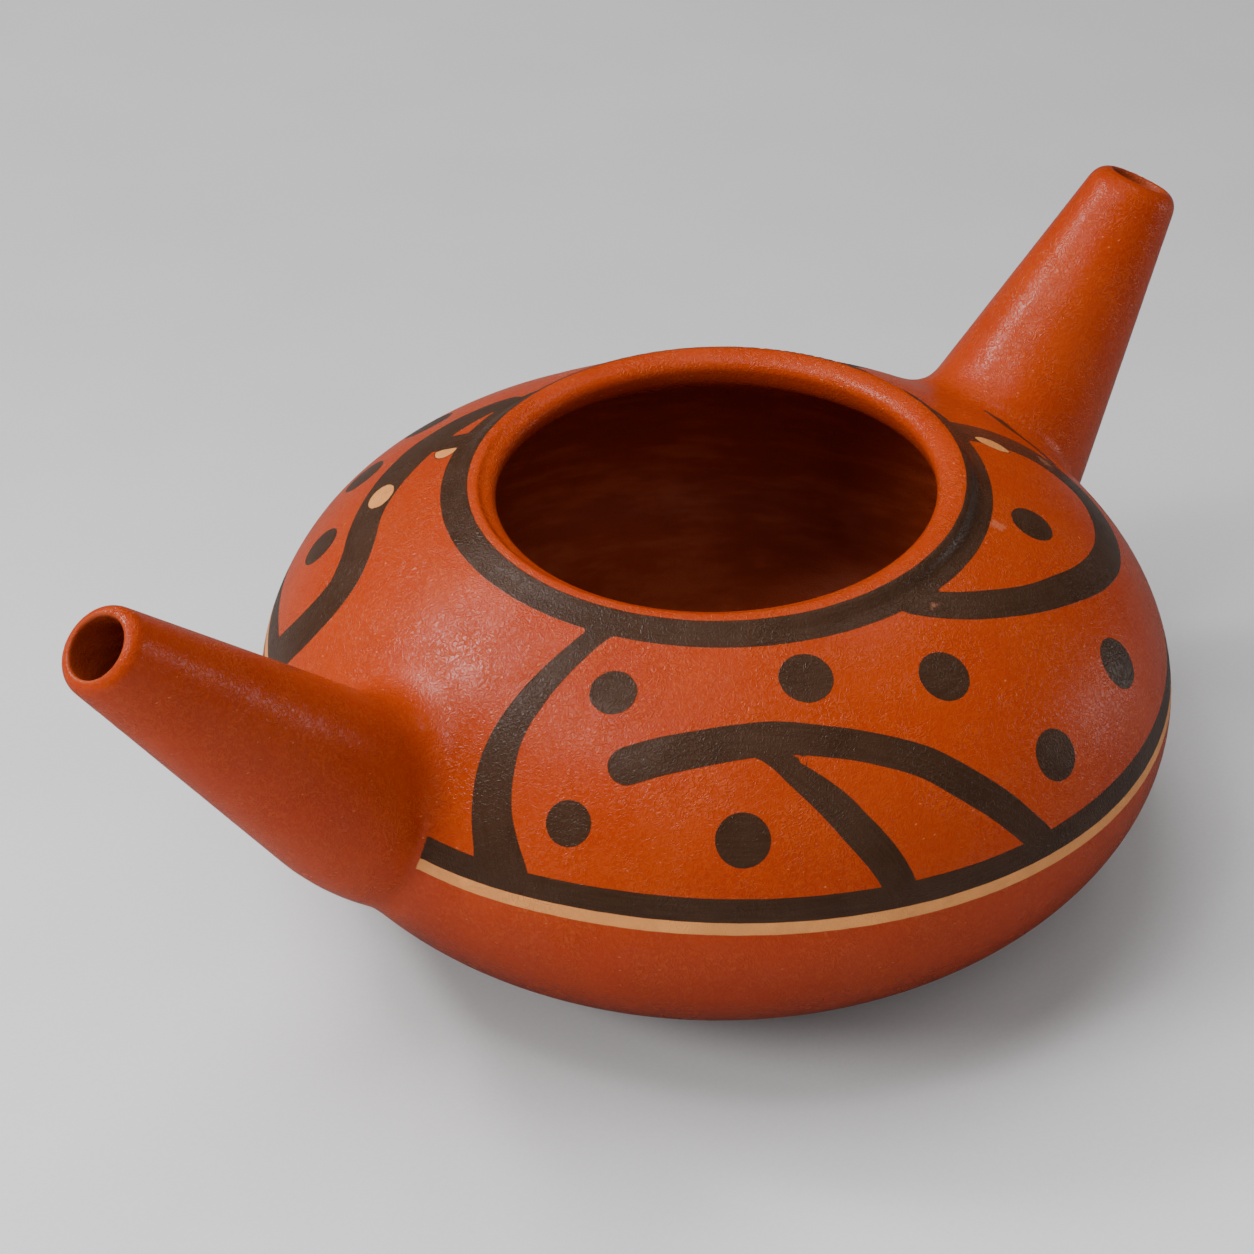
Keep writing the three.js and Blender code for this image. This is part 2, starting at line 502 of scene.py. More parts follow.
def turned(name: str, run: Sequence[tuple[float, float]], steps: int) -> bpy.types.Object:
    """Turns a run of radius and height around +Z, as on a wheel.

    Args:
        name: Name of the new object.
        run: Radius and height of each point, in millimetres.
        steps: Number of steps of the full turn.

    Returns:
        The closed, turned object.
    """
    deselect_all()
    bpy.ops.mesh.primitive_plane_add(size=MM, location=(0, 0, 0))
    piece = bpy.context.object
    piece.name = name
    bpy.ops.object.mode_set(mode="EDIT")
    bpy.ops.mesh.select_mode(type="VERT")
    bpy.ops.mesh.select_all(action="SELECT")
    bpy.ops.mesh.merge(type="CENTER")
    start = run[0]
    bpy.ops.transform.translate(value=(start[0] * MM, 0, start[1] * MM))
    for before, after in zip(run, run[1:]):
        step = ((after[0] - before[0]) * MM, 0, (after[1] - before[1]) * MM)
        bpy.ops.mesh.extrude_region_move(TRANSFORM_OT_translate={"value": step})
    bpy.ops.mesh.select_all(action="SELECT")
    bpy.ops.mesh.spin(steps=steps, angle=2 * math.pi, center=(0, 0, 0), axis=(0, 0, 1))
    bpy.ops.mesh.select_all(action="SELECT")
    bpy.ops.mesh.remove_doubles(threshold=2e-5)
    bpy.ops.mesh.normals_make_consistent(inside=False)
    bpy.ops.object.mode_set(mode="OBJECT")
    return piece


def tapered_rod(name: str, form: SpoutForm, bore: bool) -> bpy.types.Object:
    """A tapered rod along a spout's axis, for its clay or for its bore.

    Args:
        name: Name of the new object.
        form: The spout's sizes.
        bore: Whether the rod is the bore, which also runs out past the tip.

    Returns:
        The rod as a closed object.
    """
    way = BORE_ROD if bore else CLAY_ROD
    depth = form.bore_depth if bore else form.straight + way.past_straight
    radius = form.bore_radius if bore else form.tip_radius
    taper = form.bore_taper_deg if bore else form.taper_deg
    places = np.linspace(0.0, depth, way.places)
    radii = form.taper(places, radius, taper)
    run = [(0.0, way.past_tip)] + ([(radius, way.past_tip)] if bore else [])
    run += [(float(r), -float(d)) for d, r in zip(places, radii)] + [(0.0, -depth)]
    rod = turned(name, run, way.steps)
    make_active(rod)
    rod.rotation_euler = (0, 0, way.seam_turn)
    bpy.ops.object.transform_apply(location=False, rotation=True, scale=False)
    rod.rotation_euler = (0, form.side.value * math.radians(90 - form.tilt_deg), 0)
    rod.location = tuple(form.tip * MM)
    make_active(rod)
    bpy.ops.object.transform_apply(location=True, rotation=True, scale=True)
    if form.root_spread and not bore:
        for start, share in way.spread_steps:
            widen_root(rod, form, start, 1 + form.root_spread * share)
    return rod


def widen_root(rod: bpy.types.Object, form: SpoutForm, start: float, factor: float) -> None:
    """Widens or narrows the root of a rod sideways, as its spout does.

    Args:
        rod: The rod, in place.
        form: The spout's sizes.
        start: Depth from the tip beyond which the rod is changed.
        factor: How much wider it becomes.
    """
    depth, _ = form.along_and_across(vertex_points(rod))
    edit_chosen(rod, "VERT", depth > start)
    bpy.ops.transform.resize(value=(1, factor, 1), center_override=(0, 0, 0))
    bpy.ops.object.mode_set(mode="OBJECT")


def join_or_cut(piece: bpy.types.Object, tool: bpy.types.Object, operation: str) -> None:
    """Joins another solid to a piece, or cuts it out, and removes that solid.

    Args:
        piece: The piece that stays.
        tool: The solid that is joined or cut out.
        operation: UNION or DIFFERENCE.
    """
    make_active(piece)
    modifier = piece.modifiers.new("work", "BOOLEAN")
    modifier.operation = operation
    modifier.object = tool
    modifier.solver = "EXACT"
    bpy.ops.object.modifier_apply(modifier=modifier.name)
    bpy.data.objects.remove(tool)


@dataclass(frozen=True)
class Stroke:
    """A painted stroke: stations of azimuth, height and width along its middle."""

    stations: tuple[Place, ...]

    def line(self, pot: PotForm, per_span: int = 8) -> tuple[Points, Points]:
        """The stroke's middle as close points on the pot, with its half width at each.

        Args:
            pot: The pot that is painted.
            per_span: Points to a span between two stations.

        Returns:
            Rows of X, Y and Z, and the half widths.
        """
        knots = np.array(self.stations, float)
        ends = np.vstack([2 * knots[0] - knots[1], knots, 2 * knots[-1] - knots[-2]])
        rows = []
        for i in range(1, len(ends) - 2):
            a, b, c, d = ends[i - 1 : i + 3]
            t = np.linspace(0, 1, per_span, endpoint=False)[:, None]
            rows.append(0.5 * (2 * b + (c - a) * t + (2 * a - 5 * b + 4 * c - d) * t**2
                               + (3 * b - a - 3 * c + d) * t**3))
        rows.append(knots[-1:])
        smooth = np.vstack(rows)
        return pot.surface_point(smooth[:, 0], smooth[:, 1]), smooth[:, 2] / 2


@dataclass(frozen=True)
class Dot:
    """A painted dot: azimuth, height and radius, and its radius up the slope if other."""

    azimuth: float
    height: float
    radius: float
    radius_up: float | None = None

    def field(self, p: Points, pot: PotForm) -> Points:
        """Signed distance of points to the dot's edge.

        Args:
            p: Points as rows of X, Y and Z.
            pot: The pot that is painted.

        Returns:
            Negative within the dot.
        """
        azimuth, height = np.array([self.azimuth]), np.array([self.height])
        centre = pot.surface_point(azimuth, height)[0]
        above = pot.surface_point(azimuth, height + 0.5)[0] - centre
        above /= np.linalg.norm(above)
        turn = math.radians(self.azimuth)
        beside = np.array([-math.sin(turn), math.cos(turn), 0.0])
        tall = self.radius_up or self.radius
        gap = p - centre
        x, y = gap @ beside / self.radius, gap @ above / tall
        depth = gap @ np.cross(beside, above) / self.radius
        return (np.sqrt(x**2 + y**2 + depth**2) - 1) * min(self.radius, tall)


@dataclass
class Painting:
    """The slip painting, as it lies on the pot. Angles in degrees, sizes in millimetres."""

    collar_inner: float = 52.4
    collar_outer: float = 58.2
    collar_from: float = 80.0
    rings_from: float = 84.0
    band_cream: float = 2.5
    band_slant: float = 1.04
    top_slant: float = 1.08
    streak_reach: float = 0.4
    skin_reach: float = 1.6
    lowest: float = 20.0
    narrowest: float = 48.0
    upper_from: float = 45.0
    band_line: tuple[tuple[float, float], ...] = (
        (-180, 54.6), (-168, 53.6), (-150, 54.6), (-130, 54.1), (-110, 52.7), (-92, 51.0),
        (-76, 49.7), (-60, 49.4), (-40, 50.0), (-10, 51.2), (30, 53.0), (75, 54.4),
        (110, 55.4), (140, 56.2), (160, 56.0), (180, 54.6))
    band_top: tuple[tuple[float, float], ...] = (
        (-180, 59.6), (-168, 58.3), (-145, 59.1), (-118, 58.0), (-99, 56.3), (-85, 55.5),
        (-62, 54.3), (-40, 54.9), (-10, 56.2), (30, 58.0), (75, 59.5), (110, 60.4),
        (130, 61.0), (145, 62.2), (160, 61.8), (180, 59.6))
    front: tuple[Stroke, ...] = (
        Stroke(((-154.5, 90.2, 4.4), (-157.3, 88.8, 4.6), (-160.2, 85.9, 5.0), (-162.2, 82.1, 5.8),
                (-163.2, 77.5, 6.6), (-162.9, 72.7, 7.8), (-161.7, 67.0, 8.5),
                (-159.9, 61.4, 9.8), (-158.6, 57.0, 11.5))),
        Stroke(((-145.6, 76.9, 7.6), (-142.2, 78.2, 7.6), (-138.7, 79.1, 7.5),
                (-132.3, 80.2, 7.2), (-125.2, 80.6, 6.8),
                (-118.7, 79.7, 6.4), (-112.5, 78.0, 6.3), (-106.0, 74.8, 6.5),
                (-101.5, 70.3, 6.8), (-97.1, 64.0, 6.6), (-93.6, 56.7, 6.3), (-92.6, 54.0, 6.3))),
        Stroke(((-130.0, 79.2, 1.0), (-127.6, 78.9, 2.0), (-125.9, 78.3, 3.0),
                (-124.6, 77.5, 3.8), (-123.0, 76.2, 4.8), (-121.2, 74.5, 5.6),
                (-119.4, 72.5, 6.2), (-117.8, 70.2, 6.6), (-116.5, 67.8, 6.7),
                (-115.1, 65.2, 6.8), (-113.9, 62.4, 6.8), (-112.9, 59.3, 6.7),
                (-112.2, 56.0, 6.7))),
    )
    front_dots: tuple[Dot, ...] = (
        Dot(-150.2, 84.5, 4.7), Dot(-151.6, 68.0, 4.5), Dot(-130.4, 67.9, 5.3),
        Dot(-118.5, 86.2, 5.4), Dot(-96.1, 82.6, 5.4), Dot(-86.5, 66.8, 5.3), Dot(-66.5, 69.2, 5.6))
    sides: tuple[Stroke, ...] = (
        Stroke(((-91.5, 89.6, 6.6), (-87.3, 88.4, 6.8), (-82.0, 86.9, 7.0), (-76.5, 85.3, 6.9),
                (-69.8, 83.1, 6.9), (-62.9, 80.8, 7.2), (-54.8, 77.7, 7.5), (-46.0, 74.9, 7.9),
                (-37.5, 73.8, 8.2), (-31.0, 74.8, 8.4), (-26.3, 77.9, 8.6), (-22.8, 81.7, 8.6),
                (-21.0, 85.6, 8.6), (-20.0, 89.6, 8.6))),
        Stroke(((-6.5, 80.2, 1.6), (-12.0, 78.8, 2.6), (-17.1, 77.6, 2.8), (-22.0, 77.0, 2.0))),
        Stroke(((96.8, 88.7, 5.6), (101.6, 87.9, 7.4), (106.0, 87.2, 8.4), (111.5, 86.2, 9.4),
                (116.4, 85.2, 10.4), (121.0, 84.5, 10.6), (125.4, 83.7, 10.4),
                (131.4, 82.6, 9.6), (138.0, 81.5, 8.8), (145.3, 80.4, 9.0),
                (150.4, 78.0, 9.6), (152.3, 74.5, 10.2), (152.4, 69.5, 10.2),
                (151.2, 64.2, 10.0), (149.6, 58.5, 10.6), (148.8, 55.0, 11.0))),
    )
    bridge: Stroke = Stroke(((117.9, 85.2, 6.6), (117.8, 88.0, 6.6), (117.6, 91.0, 6.6)))
    side_dots: tuple[Dot, ...] = (
        Dot(-50.9, 85.8, 5.0), Dot(136.2, 73.4, 5.1), Dot(119.1, 76.3, 5.5),
        Dot(103.6, 79.4, 6.2))
    cream_dots: tuple[Dot, ...] = (
        Dot(131.9, 82.9, 4.3, 3.2), Dot(121.4, 88.4, 3.2, 2.6))
    cream_strokes: tuple[Stroke, ...] = (
        Stroke(((-25.7, 85.5, 0.8), (-24.8, 86.2, 3.2), (-23.9, 86.9, 4.0), (-23.1, 87.6, 3.2),
                (-22.4, 88.2, 0.8))),)
    worn_spots: tuple[Dot, ...] = (
        Dot(-88.4, 88.4, 1.8, 1.0), Dot(-56.6, 88.7, 2.0, 1.8), Dot(-24.2, 79.5, 3.2, 1.6))

    def back(self) -> tuple[tuple[Stroke, ...], tuple[Dot, ...]]:
        """The front's motif repeated on the unseen side, with fewer dots.

        Returns:
            The strokes and the dots of the far side.
        """
        strokes = tuple(Stroke(tuple((a + 180.0, z, w) for a, z, w in s.stations))
                        for s in self.front)
        dots = tuple(Dot(d.azimuth + 180.0, d.height, d.radius)
                     for d in self.front_dots[:1] + self.front_dots[2:3])
        return strokes, dots

    @staticmethod
    def line_height(line: Sequence[tuple[float, float]], azimuth: Points) -> Points:
        """Height of one of the band's lines.

        Args:
            line: Azimuth and height of points on the line, all the way round.
            azimuth: Angles around the axis, in degrees.

        Returns:
            Height above the foot at each angle.
        """
        spacing, spread = 5.0, 1.2
        knots = np.array(line)
        a = np.concatenate([knots[:-1, 0] - 360, knots[:, 0], knots[1:, 0] + 360])
        z = np.concatenate([knots[:-1, 1], knots[:, 1], knots[1:, 1]])
        total = np.zeros(len(azimuth))
        steps = np.arange(-2, 3)
        weights = np.exp(-0.5 * (steps / spread) ** 2)
        for shift, weight in zip(steps * spacing, weights / weights.sum()):
            total += weight * np.interp(azimuth + shift, a, z)
        return total

    @staticmethod
    def stroke_field(p: Points, line: Points, half: Points) -> tuple[Points, Points, Points]:
        """Distance of points to a stroke's edge, with their place along and across it.

        Args:
            p: Points as rows of X, Y and Z.
            line: The stroke's middle.
            half: Half widths along the middle.

        Returns:
            Signed distance to the edge, distance along, and signed distance across.
        """
        edge = np.full(len(p), 1e3)
        along = np.zeros(len(p))
        across = np.zeros(len(p))
        run = 0.0
        for a, b, wa, wb in zip(line, line[1:], half, half[1:]):
            span = b - a
            length = float(np.linalg.norm(span)) + 1e-9
            t = np.clip((p - a) @ span / length**2, 0, 1)
            gap = p - a - t[:, None] * span
            distance = np.linalg.norm(gap, axis=1)
            value = distance - (wa + (wb - wa) * t)
            nearer = value < edge
            side = np.cross(span / length, np.array([a[0], a[1], 0.0]) / np.hypot(a[0], a[1]))
            edge = np.where(nearer, value, edge)
            along = np.where(nearer, run + t * length, along)
            across = np.where(nearer, distance * np.sign(gap @ side), across)
            run += length
        return edge, along, across


@dataclass
class PacchaVessel:
    """The fired vessel: its clay body with lip and spouts, and the painting on it."""

    pot: PotForm = field(default_factory=PotForm)
    right: SpoutForm = RIGHT_SPOUT
    left: SpoutForm = LEFT_SPOUT
    painting: Painting = field(default_factory=Painting)
    turn_steps: int = 96
    clay_grain: float = 1.6
    bore_join: float = 4.0
    wall_rounding: float = 0.9
    mouth_rounding: float = 1.0
    lip_join: float = 1.8
    longest_step: float = 1.5
    fine_tip_depth: float = 9.0
    fine_tip_across: float = 20.0
    fine_lip_height: float = 86.0
    fine_lip_radius: float = 60.0
    inside_share: float = 0.25
    inside_from: float = 2.0
    throat_clear: tuple[float, float] = (56.0, 78.0)
    first_rounds: int = 8
    later_rounds: int = 4
    least_slope: float = 0.05
    gap_reach: float = 30.0
    lip_depth: float = 5.0

    def field_at(self, p: Points) -> Points:
        """Field of the whole vessel, negative inside the clay.

        Args:
            p: Points as rows of X, Y and Z, in millimetres.

        Returns:
            Near the surface, the signed distance to it.
        """
        skin = self.pot.outside(p)
        for spout in (self.right, self.left):
            skin = soft_least(skin, spout.clay(p), spout.fillet(p))
        wall = soft_most(skin, -self.hollow_at(p), self.wall_rounding)
        wall = soft_most(wall, -self.pot.mouth(p), self.mouth_rounding)
        return soft_least(wall, self.pot.lip(p), self.lip_join)

    def hollow_at(self, p: Points) -> Points:
        """Field of the pot's hollow with the spouts' bores.

        Args:
            p: Points as rows of X, Y and Z, in millimetres.

        Returns:
            Negative within the hollow.
        """
        hollow = self.pot.inside(p)
        for spout in (self.right, self.left):
            hollow = soft_least(hollow, spout.hollow(p), self.bore_join)
        return hollow

    def slope_at(self, p: Points, reach: float = 0.05) -> Points:
        """Gradient of the vessel's field, by small steps to each side.

        Args:
            p: Points as rows of X, Y and Z, in millimetres.
            reach: Length of the steps.

        Returns:
            The gradient at each point.
        """
        slope = np.empty_like(p)
        for axis in range(3):
            step = np.zeros(3)
            step[axis] = reach
            slope[:, axis] = (self.field_at(p + step) - self.field_at(p - step)) / (2 * reach)
        return slope

    def draw_to_form(self, piece: bpy.types.Object, rounds: int) -> None:
        """Moves each vertex onto the vessel's true surface.

        Args:
            piece: The vessel's object.
            rounds: Number of steps taken towards the surface.
        """
        p = vertex_points(piece)
        for _ in range(rounds):
            slope = self.slope_at(p)
            steep = np.maximum((slope**2).sum(axis=1), self.least_slope)
            step = (self.field_at(p) / steep)[:, None] * slope
            size = np.linalg.norm(step, axis=1, keepdims=True)
            p -= step * np.minimum(1.0, self.longest_step / np.maximum(size, 1e-9))
        piece.data.vertices.foreach_set("co", (p * MM).ravel())
        piece.data.update()

    def refine(self, piece: bpy.types.Object, lip: bool) -> None:
        """Divides the faces at the spout tips, where the roundings are small.

        Args:
            piece: The vessel's object.
            lip: Whether the faces of the lip are divided too.
        """
        flat = np.empty(len(piece.data.polygons) * 3)
        piece.data.polygons.foreach_get("center", flat)
        centres = flat.reshape(-1, 3) / MM
        r = np.hypot(centres[:, 0], centres[:, 1])
        chosen = (centres[:, 2] > self.fine_lip_height) & (r < self.fine_lip_radius) & lip
        for spout in (self.right, self.left):
            depth, across = spout.along_and_across(centres)
            chosen |= (depth < self.fine_tip_depth) & (across < self.fine_tip_across)
        edit_chosen(piece, "FACE", chosen)
        bpy.ops.mesh.subdivide(number_cuts=1)
        bpy.ops.object.mode_set(mode="OBJECT")

    def thin_inside(self, piece: bpy.types.Object) -> None:
        """Gives the plain inside larger faces than the painted outside.

        Args:
            piece: The vessel's object.
        """
        p = vertex_points(piece)
        radius, height = self.throat_clear
        deep = self.skin_gap(p) < -self.inside_from
        deep &= (np.hypot(p[:, 0], p[:, 1]) > radius) | (p[:, 2] < height)
        edit_chosen(piece, "VERT", deep)
        bpy.ops.mesh.decimate(ratio=self.inside_share)
        bpy.ops.object.mode_set(mode="OBJECT")

    def spout_gap(self, p: Points) -> Points:
        """Distance outward from the nearer spout's skin, negative under it."""
        return np.minimum(self.right.clay(p), self.left.clay(p))

    def skin_gap(self, p: Points) -> Points:
        """Distance outward from the outer skin of pot and spouts, negative under it."""
        return np.minimum(self.pot.outside(p), self.spout_gap(p))

    def build(self) -> bpy.types.Object:
        """Models the vessel: turned pot, rods joined on, hollows cut, then finely dressed.

        Returns:
            The finished, unpainted vessel.
        """
        vessel = turned("vessel", self.pot.outside_run(), self.turn_steps)
        for spout in (self.right, self.left):
            join_or_cut(vessel, tapered_rod("rod", spout, bore=False), "UNION")
        join_or_cut(vessel, turned("hollow", self.pot.inside_run(), self.turn_steps), "DIFFERENCE")
        for spout in (self.right, self.left):
            join_or_cut(vessel, tapered_rod("bore", spout, bore=True), "DIFFERENCE")
        LOG.info("rough vessel: %d vertices", len(vessel.data.vertices))
        remesh = vessel.modifiers.new("even clay", "REMESH")
        remesh.mode = "VOXEL"
        remesh.voxel_size = self.clay_grain * MM
        make_active(vessel)
        bpy.ops.object.modifier_apply(modifier=remesh.name)
        self.draw_to_form(vessel, self.first_rounds)
        self.thin_inside(vessel)
        self.draw_to_form(vessel, self.later_rounds)
        for lip in (True, False):
            self.refine(vessel, lip)
            self.draw_to_form(vessel, self.later_rounds)
        make_active(vessel)
        bpy.ops.object.shade_smooth()
        self.smooth_normals(vessel)
        LOG.info("fine vessel: %d triangles",
                 sum(len(face.vertices) - 2 for face in vessel.data.polygons))
        return vessel

    def smooth_normals(self, piece: bpy.types.Object) -> None:
        """Gives each vertex the normal of the true surface.

        Args:
            piece: The vessel's object.
        """
        slope = self.slope_at(vertex_points(piece))
        slope /= np.maximum(np.linalg.norm(slope, axis=1, keepdims=True), 1e-9)
        piece.data.normals_split_custom_set_from_vertices([tuple(n) for n in slope])

    @staticmethod
    def store(piece: bpy.types.Object, name: str, values: Points) -> None:
        """Keeps one value to a vertex on a piece, for its material to read.

        Args:
            piece: The object.
            name: Name of the attribute.
            values: One value to a vertex.
        """
        layer = piece.data.attributes.new(name, "FLOAT", "POINT")
        layer.data.foreach_set("value", np.asarray(values, np.float32))

    def lay_strokes(self, q: Points, edge: Points, along: Points,
                    across: Points) -> tuple[Points, Points, Points, Points]:
        """Distances from the dark strokes and dots, over the painted upper half.

        Args:
            q: Points as rows of X, Y and Z.
            edge: Distance to the collar's edge.
            along: Place along the nearest ring.
            across: Place across it.

        Returns:
            Edge, along and across with the strokes laid in, and the bridge's own edge.
        """
        work = self.painting
        back_strokes, back_dots = work.back()
        for stroke in work.front + work.sides + back_strokes:
            e, s, c = work.stroke_field(q, *stroke.line(self.pot))
            inside = (e < work.streak_reach) & (e < edge)
            along = np.where(inside, s, along)
            across = np.where(inside, c, across)
            edge = np.minimum(edge, e)
        edge = self.nearest(q, work.front_dots + work.side_dots + back_dots, edge)
        bridge = work.stroke_field(q, *work.bridge.line(self.pot))[0]
        edge = np.minimum(edge, bridge)
        edge = np.maximum(edge, work.collar_inner - np.hypot(q[:, 0], q[:, 1]))
        return edge, along, across, bridge

    def nearest(self, q: Points, dots: Sequence[Dot], start: Points | float = FAR) -> Points:
        """Distance to the nearest of some dots.

        Args:
            q: Points as rows of X, Y and Z.
            dots: The dots.
            start: Distance that is already known.

        Returns:
            The least distance at each point.
        """
        least = np.full(len(q), start) if np.isscalar(start) else start
        for dot in dots:
            least = np.minimum(least, dot.field(q, self.pot))
        return least

    def paint(self, piece: bpy.types.Object) -> None:
        """Lays the painting on the vessel as distances, in millimetres.

        Args:
            piece: The vessel's object.
        """
        work, reach = self.painting, self.gap_reach
        p = vertex_points(piece)
        z = p[:, 2]
        r = np.hypot(p[:, 0], p[:, 1])
        azimuth = np.degrees(np.arctan2(p[:, 1], p[:, 0]))
        outer = (self.pot.outside(p) > -work.skin_reach) & (z > work.lowest) & (r > work.narrowest)
        upper = outer & (z > work.upper_from)
        q = p[upper]
        along = r * np.radians(azimuth)
        across = np.where(z > work.rings_from, r, z)
        collar = np.abs(r - (work.collar_inner + work.collar_outer) / 2)
        collar -= (work.collar_outer - work.collar_inner) / 2
        edge = np.where(z > work.collar_from, np.minimum(collar, FAR), FAR)
        cream, worn = np.full(len(p), FAR), np.full(len(p), FAR)
        edge[upper], along[upper], across[upper], bridge = self.lay_strokes(
            q, edge[upper], along[upper], across[upper])
        lenses = self.nearest(q, work.cream_dots)
        for stroke in work.cream_strokes:
            lenses = np.minimum(lenses, work.stroke_field(q, *stroke.line(self.pot))[0])
        cream[upper] = np.maximum(lenses, -bridge)
        worn[upper] = self.nearest(q, work.worn_spots)
        band = (z - work.line_height(work.band_line, azimuth)) * work.band_slant
        over = (z - work.line_height(work.band_top, azimuth)) * work.top_slant
        for name, values in (("dark_edge", edge), ("cream_edge", cream), ("worn_edge", worn),
                             ("band_offset", band), ("band_over", over)):
            self.store(piece, name, np.where(outer, values, FAR))
        self.store(piece, "spout_gap", np.clip(self.spout_gap(p), -reach, reach))
        self.store(piece, "stroke_along", along)
        self.store(piece, "stroke_across", across)
        self.store(piece, "hollow_gap", np.clip(np.abs(self.hollow_at(p)), 0, reach))
        self.store(piece, "lip_gap", np.clip(self.pot.lip(p), -self.lip_depth, reach))


@dataclass(frozen=True)
class Mottle:
    """A noise pattern and the part of its range that is used. Scale in cells to a metre."""

    scale: float
    low: float = 0.3
    high: float = 0.7
    detail: float = 3.0
    rough: float = 0.6
    bend: float = 0.0


class Graph:
    """A small helper that adds and joins shader nodes in one tree."""

    def __init__(self, tree: bpy.types.NodeTree) -> None:
        """Keeps the tree that nodes are added to."""
        self.tree = tree

    def add(self, kind: str, **settings: object) -> bpy.types.Node:
        """Adds a node.

        Args:
            kind: The node's type name.
            settings: Properties of the node.

        Returns:
            The new node.
        """
        node = self.tree.nodes.new(kind)
        for name, value in settings.items():
            setattr(node, name, value)
        return node

    def join(self, source: bpy.types.NodeSocket, target: bpy.types.NodeSocket) -> None:
        """Joins an output to an input."""
        self.tree.links.new(source, target)

    def put(self, target: bpy.types.NodeSocket, value: object) -> None:
        """Feeds an input from a socket, or sets it to a plain value.

        Args:
            target: The input.
            value: A socket or a plain value.
        """
        if isinstance(value, bpy.types.NodeSocket):
            self.join(value, target)
        else:
            target.default_value = value

    def math(self, operation: str, *values: object, clamp: bool = False) -> bpy.types.NodeSocket:
        """Adds a Math node and returns its result.

        Args:
            operation: The node's operation.
            values: Sockets or numbers for its inputs.
            clamp: Whether the result is kept between zero and one.

        Returns:
            The result's socket.
        """
        node = self.add("ShaderNodeMath", operation=operation, use_clamp=clamp)
        for slot, value in zip(node.inputs, values):
            self.put(slot, value)
        return node.outputs[0]

    def times(self, a: object, b: object, clamp: bool = False) -> bpy.types.NodeSocket:
        """Multiplies two sockets or numbers."""
        return self.math("MULTIPLY", a, b, clamp=clamp)

    def plus(self, a: object, b: object, clamp: bool = False) -> bpy.types.NodeSocket:
        """Adds two sockets or numbers."""
        return self.math("ADD", a, b, clamp=clamp)

    def remap(self, value: object, low: float, high: float, to_low: float = 0.0,
              to_high: float = 1.0) -> bpy.types.NodeSocket:
        """Maps a range onto another with eased ends, held at both ends.

        Args:
            value: The socket or number that is mapped.
            low: Start of the range.
            high: End of the range.
            to_low: Result at the start.
            to_high: Result at the end.

        Returns:
            The result's socket.
        """
        node = self.add("ShaderNodeMapRange", clamp=True, interpolation_type="SMOOTHSTEP")
        for slot, item in zip(node.inputs, (value, low, high, to_low, to_high)):
            self.put(slot, item)
        return node.outputs[0]

    def noise(self, vector: object, scale: float, detail: float = 2.0, rough: float = 0.5,
              distortion: float = 0.0) -> bpy.types.NodeSocket:
        """Adds a Noise texture.

        Args:
            vector: Where the pattern lies.
            scale: Cells to a metre.
            detail: Number of finer layers.
            rough: How strong the finer layers are.
            distortion: How far the pattern is bent.

        Returns:
            The noise's value.
        """
        node = self.add("ShaderNodeTexNoise")
        for name, value in (("Vector", vector), ("Scale", scale), ("Detail", detail),
                            ("Roughness", rough), ("Distortion", distortion)):
            self.put(node.inputs[name], value)
        return node.outputs["Fac"]

    def mottled(self, vector: object, mottle: Mottle, to_low: float = 0.0,
                to_high: float = 1.0) -> bpy.types.NodeSocket:
        """Lays a mottle, mapped from its range onto another.

        Args:
            vector: Where the pattern lies.
            mottle: The pattern.
            to_low: Result at the start of its range.
            to_high: Result at the end.

        Returns:
            The result's socket.
        """
        m = mottle
        value = self.noise(vector, m.scale, m.detail, m.rough, m.bend)
        return self.remap(value, m.low, m.high, to_low, to_high)

    def stretch(self, vector: bpy.types.NodeSocket, scale: Place) -> bpy.types.NodeSocket:
        """Adds a Mapping node that stretches a pattern.

        Args:
            vector: Where the pattern lies.
            scale: Scale along each axis.

        Returns:
            The stretched place.
        """
        node = self.add("ShaderNodeMapping")
        self.join(vector, node.inputs["Vector"])
        node.inputs["Scale"].default_value = scale
        return node.outputs["Vector"]

    def mix(self, share: object, a: object, b: object) -> bpy.types.NodeSocket:
        """Mixes two colours.

        Args:
            share: Share of the second colour.
            a: First colour.
            b: Second colour.

        Returns:
            The mixed colour's socket.
        """
        node = self.add("ShaderNodeMix", data_type="RGBA", clamp_factor=True)
        self.put(node.inputs["Factor"], share)
        self.put(node.inputs["A"], a)
        self.put(node.inputs["B"], b)
        return node.outputs["Result"]

    def attribute(self, name: str) -> bpy.types.NodeSocket:
        """Reads a value kept on the piece's vertices."""
        node = self.add("ShaderNodeAttribute", attribute_type="GEOMETRY", attribute_name=name)
        return node.outputs["Fac"]


def new_group(name: str, inputs: Sequence[tuple[str, str, object]],
              outputs: Sequence[tuple[str, str]]) -> tuple[bpy.types.NodeTree, Graph]:
    """Makes an empty shader group with named sockets.

    Args:
        name: Name of the group.
        inputs: Name, kind and plain value of each input.
        outputs: Name and kind of each output.

    Returns:
        The group and a helper for its nodes.
    """
    tree = bpy.data.node_groups.new(name, "ShaderNodeTree")
    for label, kind, value in inputs:
        socket = tree.interface.new_socket(label, in_out="INPUT", socket_type=kind)
        if value is not None:
            socket.default_value = value
    for label, kind in outputs:
        tree.interface.new_socket(label, in_out="OUTPUT", socket_type=kind)
    return tree, Graph(tree)


